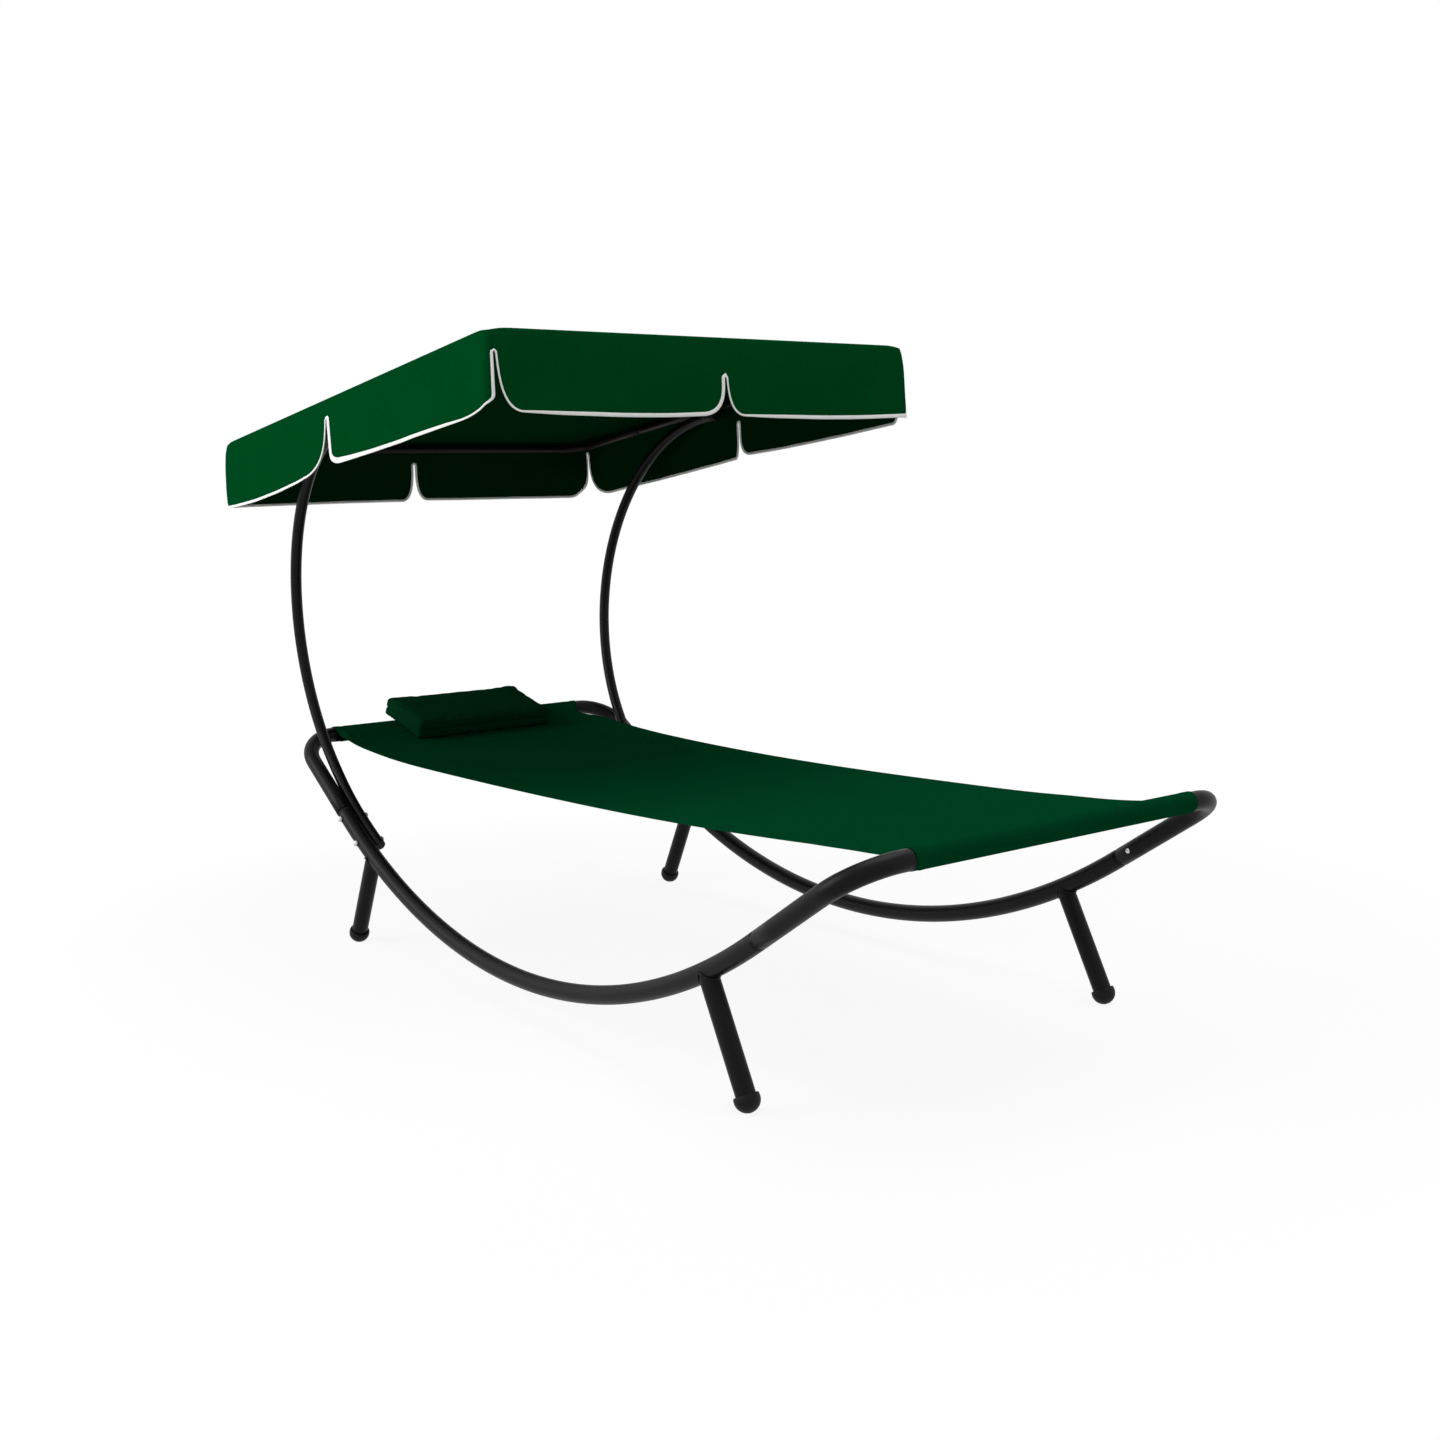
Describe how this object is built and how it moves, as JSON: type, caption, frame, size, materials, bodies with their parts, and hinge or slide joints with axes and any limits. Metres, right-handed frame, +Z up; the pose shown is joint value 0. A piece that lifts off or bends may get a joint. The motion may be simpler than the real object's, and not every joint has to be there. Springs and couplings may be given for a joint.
{
  "type": "sun lounger with canopy",
  "caption": "Garden lounger: bowed steel frame on splayed legs, hung fabric sling, loose head pillow, and curved poles that carry a tilting fabric canopy with a slit, piped valance.",
  "frame": {"origin": "on the ground, under the middle of the whole object's bounding box", "axes": "+Z up, +X from the head end to the foot end, +Y to the left side of someone who lies on it and looks at the foot end"},
  "size_m": [2.1786, 1.002, 1.2877],
  "materials": {
    "frame_paint": "black powder coat, satin",
    "cap_plastic": "black moulded plastic, matte",
    "zinc_hardware": "bright zinc plated steel",
    "sling_cloth": "dark green woven outdoor cloth",
    "canopy_cloth": "dark green woven polyester",
    "pillow_cloth": "dark green woven outdoor cloth",
    "white_piping": "white binding tape"
  },
  "bodies": {
    "bed": {"bed_sling": "sling_cloth", "canopy_pole_left": "frame_paint", "canopy_pole_right": "frame_paint", "foot_cap_foot_left": "cap_plastic", "foot_cap_foot_right": "cap_plastic", "foot_cap_head_left": "cap_plastic", "foot_cap_head_right": "cap_plastic", "foot_rail_tube": "frame_paint", "head_rail_tube": "frame_paint", "leg_foot_left": "frame_paint", "leg_foot_right": "frame_paint", "leg_head_left": "frame_paint", "leg_head_right": "frame_paint", "pole_bolt_lower_left": "zinc_hardware", "pole_bolt_lower_right": "zinc_hardware", "pole_bolt_upper_left": "zinc_hardware", "pole_bolt_upper_right": "zinc_hardware", "pole_foot_plug_left": "cap_plastic", "pole_foot_plug_right": "cap_plastic", "pole_nut_lower_left": "zinc_hardware", "pole_nut_lower_right": "zinc_hardware", "pole_nut_upper_left": "zinc_hardware", "pole_nut_upper_right": "zinc_hardware", "pole_top_plug_left": "cap_plastic", "pole_top_plug_right": "cap_plastic", "rail_screw_foot_left": "zinc_hardware", "rail_screw_foot_right": "zinc_hardware", "rail_screw_head_left": "zinc_hardware", "rail_screw_head_right": "zinc_hardware", "side_tube_left": "frame_paint", "side_tube_right": "frame_paint"},
    "canopy": {"canopy_bracket_left": "frame_paint", "canopy_bracket_right": "frame_paint", "canopy_cover": "canopy_cloth", "canopy_piping": "white_piping", "canopy_pivot_bolt_left": "zinc_hardware", "canopy_pivot_bolt_right": "zinc_hardware", "canopy_pivot_nut_left": "zinc_hardware", "canopy_pivot_nut_right": "zinc_hardware", "canopy_pivot_washer_left": "cap_plastic", "canopy_pivot_washer_right": "cap_plastic", "canopy_screw_foot_left": "zinc_hardware", "canopy_screw_foot_right": "zinc_hardware", "canopy_screw_head_left": "zinc_hardware", "canopy_screw_head_right": "zinc_hardware", "canopy_tube_foot": "frame_paint", "canopy_tube_head": "frame_paint", "canopy_tube_left": "frame_paint", "canopy_tube_right": "frame_paint"},
    "pillow": {"head_pillow": "pillow_cloth"}
  },
  "joints": [
    {"name": "canopy_tilt", "type": "hinge", "parent": "bed", "child": "canopy", "pos_m": [-0.4419, 0, 1.1783], "axis": [0, 1, 0], "range_deg": [-12, 25]},
    {"name": "pillow_lift", "type": "slide", "parent": "bed", "child": "pillow", "axis": [0, 0, 1], "range_m": [0, 0.25]}
  ]
}
